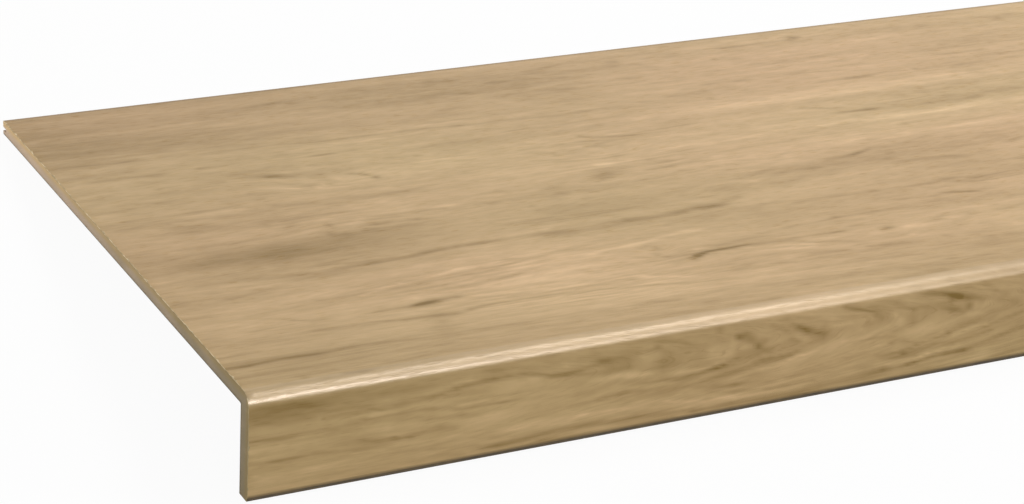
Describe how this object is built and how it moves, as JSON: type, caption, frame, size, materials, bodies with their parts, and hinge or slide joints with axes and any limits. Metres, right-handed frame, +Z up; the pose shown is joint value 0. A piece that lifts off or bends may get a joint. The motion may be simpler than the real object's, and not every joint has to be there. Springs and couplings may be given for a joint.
{
  "type": "stair tread",
  "caption": "Renovation stair tread: flat wood-laminate board turned down at the front into a rounded nosing apron, with a groove along its back edge.",
  "frame": {"origin": "middle of the footprint, on the floor that the laid-down tread rests on", "axes": "+X along the nosing, +Y towards the back edge, +Z up; the board slopes down 7.4 degrees from the nosing to the back edge, as it lies unheld"},
  "size_m": [1, 0.384, 0.0559],
  "materials": {
    "oak_laminate": "satin oak decor film, embossed along the grain, on a fibreboard core"
  },
  "bodies": {
    "root": {"stair_tread": "oak_laminate"}
  },
  "joints": []
}
